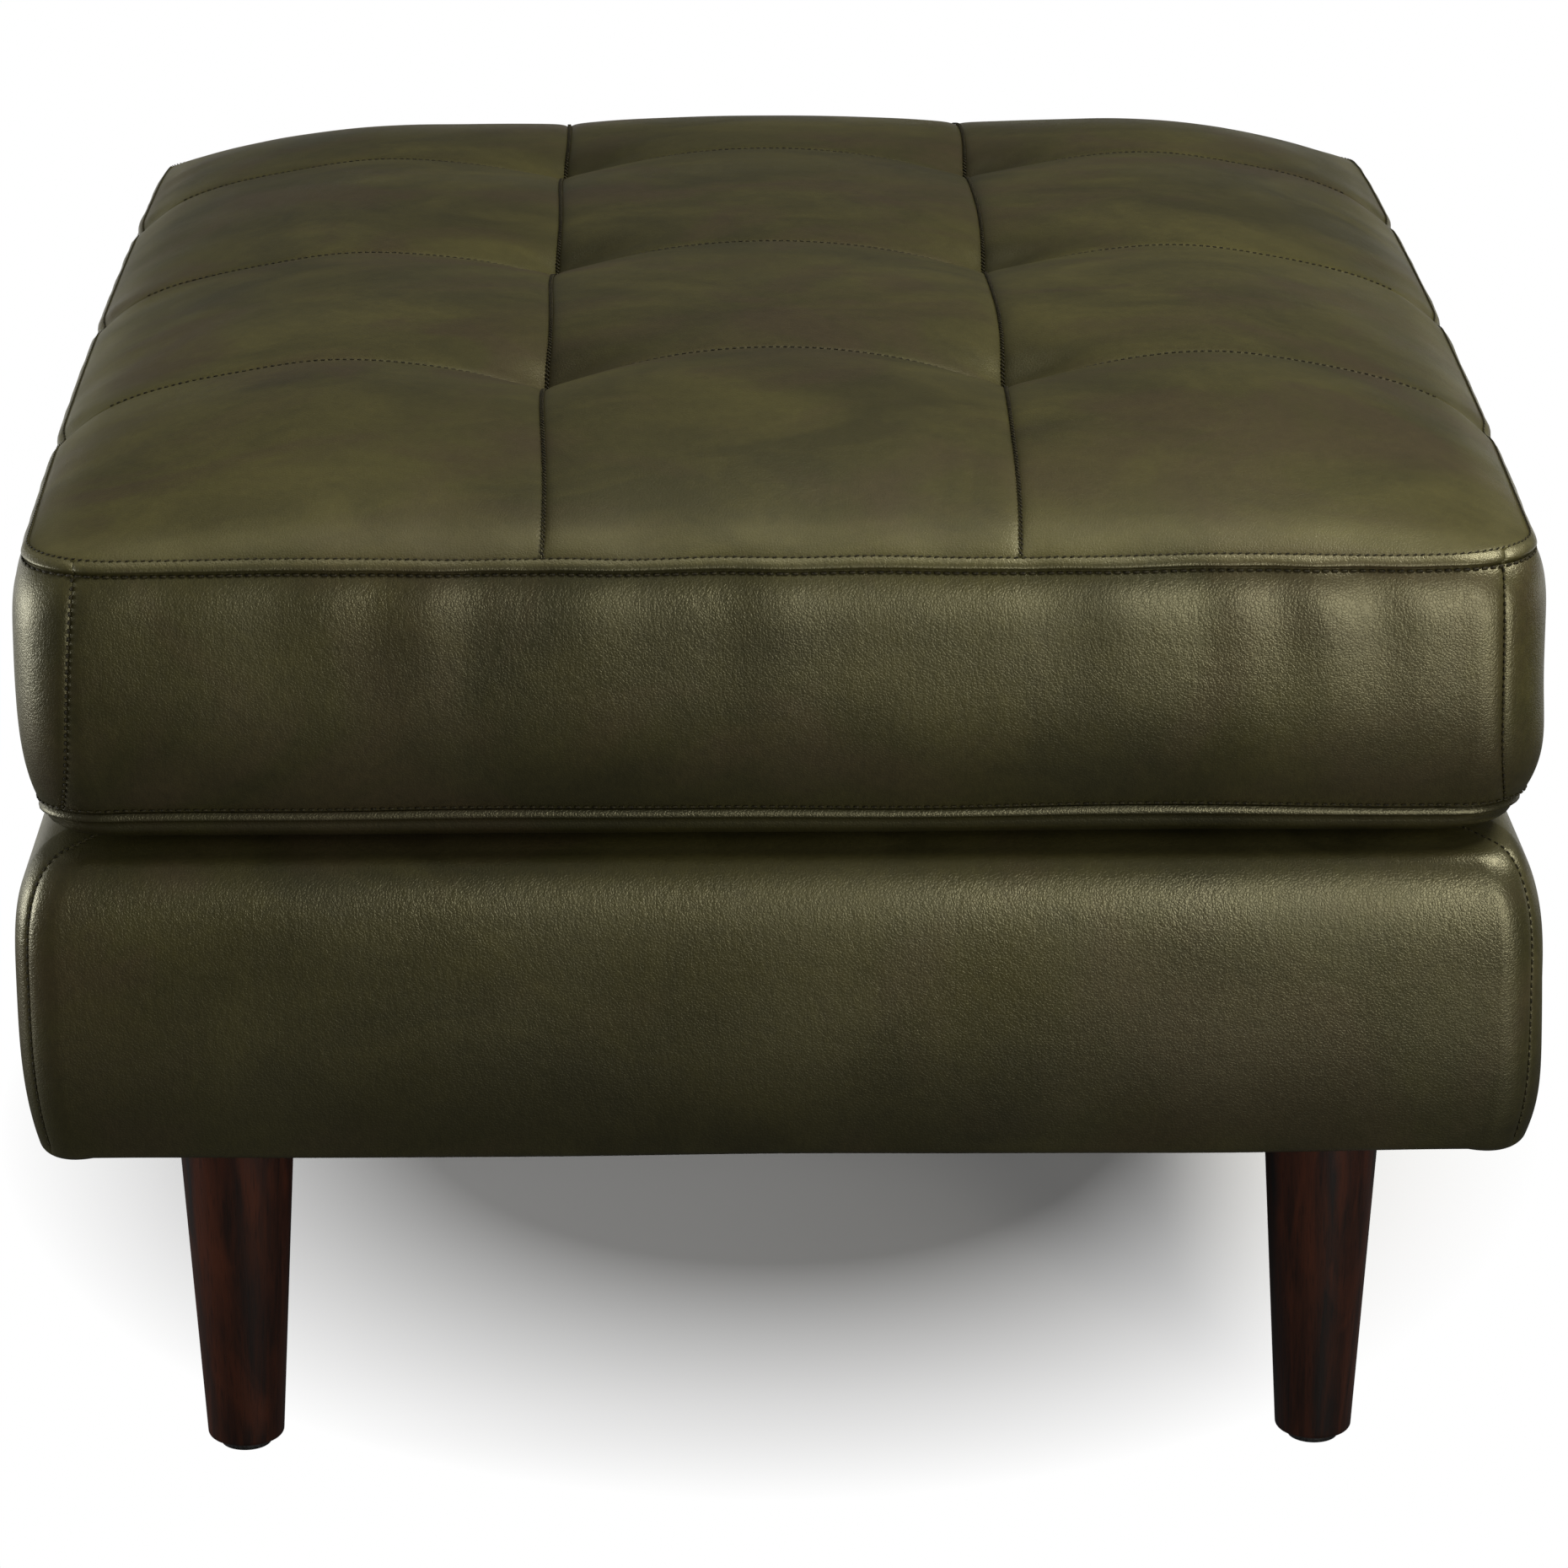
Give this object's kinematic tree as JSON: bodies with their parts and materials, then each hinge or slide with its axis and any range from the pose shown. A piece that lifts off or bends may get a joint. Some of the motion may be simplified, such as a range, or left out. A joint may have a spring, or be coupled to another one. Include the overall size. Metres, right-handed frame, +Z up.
{
  "type": "ottoman coffee table",
  "caption": "Upholstered leather ottoman: a loose quilted box cushion on a padded box with tapered round wooden legs, used as a soft low table, seat or footrest.",
  "frame": {"origin": "on the floor, at the middle of the footprint", "axes": "+Z up, +X to the right along the short side, +Y from the front to the back along the long side"},
  "size_m": [0.63, 0.7676, 0.4645],
  "materials": {
    "quilted_leather": "satin",
    "border_leather": "satin",
    "base_leather": "satin",
    "foam": "matte",
    "fibre": "matte",
    "backing_cloth": "matte",
    "deck_cloth": "matte",
    "dust_cloth": "matte",
    "frame_timber": "matte",
    "leg_wood": "satin",
    "glide_plastic": "satin",
    "fastener_steel": "satin",
    "webbing": "matte",
    "zip_tape": "matte",
    "zip_teeth": "satin",
    "zip_metal": "satin"
  },
  "bodies": {
    "base": {"base_panel_front": "base_leather", "base_panel_back": "base_leather", "base_panel_left": "base_leather", "base_panel_right": "base_leather", "deck_foam": "foam", "rail_padding_front": "foam", "rail_padding_back": "foam", "rail_padding_left": "foam", "rail_padding_right": "foam", "deck_cloth": "deck_cloth", "dust_cover": "dust_cloth", "rail_front": "frame_timber", "rail_back": "frame_timber", "rail_left": "frame_timber", "rail_right": "frame_timber", "centre_stretcher": "frame_timber", "corner_block_front_left": "frame_timber", "corner_block_front_right": "frame_timber", "corner_block_back_left": "frame_timber", "corner_block_back_right": "frame_timber", "leg_front_left": "leg_wood", "leg_front_right": "leg_wood", "leg_back_left": "leg_wood", "leg_back_right": "leg_wood", "glide_front_left": "glide_plastic", "glide_front_right": "glide_plastic", "glide_back_left": "glide_plastic", "glide_back_right": "glide_plastic", "glide_nails": "fastener_steel", "hanger_bolts": "fastener_steel", "tee_nuts": "fastener_steel", "frame_screws": "fastener_steel", "staples": "fastener_steel", "webbing_lengthwise": "webbing", "webbing_crosswise": "webbing"},
    "cushion": {"quilt_front_outer_left": "quilted_leather", "quilt_front_outer_middle": "quilted_leather", "quilt_front_outer_right": "quilted_leather", "quilt_front_inner_left": "quilted_leather", "quilt_front_inner_middle": "quilted_leather", "quilt_front_inner_right": "quilted_leather", "quilt_back_outer_left": "quilted_leather", "quilt_back_outer_middle": "quilted_leather", "quilt_back_outer_right": "quilted_leather", "quilt_back_inner_left": "quilted_leather", "quilt_back_inner_middle": "quilted_leather", "quilt_back_inner_right": "quilted_leather", "cushion_core": "foam", "quilt_fibre_pads": "fibre", "quilt_backing": "backing_cloth", "cushion_underside": "quilted_leather", "cushion_border_front": "border_leather", "cushion_border_back": "border_leather", "cushion_border_left": "border_leather", "cushion_border_right": "border_leather", "zip_tapes": "zip_tape", "zip_teeth": "zip_teeth", "zip_stops": "zip_metal"},
    "zip_slider": {"zip_slider": "zip_metal"},
    "zip_pull": {"zip_pull": "zip_metal"}
  },
  "joints": [
    {"name": "cushion_lift", "type": "slide", "parent": "base", "child": "cushion", "axis": [0, 0, 1], "range_m": [0, 0.12]},
    {"name": "zip_slide", "type": "slide", "parent": "cushion", "child": "zip_slider", "axis": [1, 0, 0], "range_m": [0, 0.5]},
    {"name": "pull_hinge", "type": "hinge", "parent": "zip_slider", "child": "zip_pull", "pos_m": [-0.2515, 0.38274, 0.39347], "axis": [0, -0.0429, 0.9991], "range_deg": [0, 150]}
  ]
}
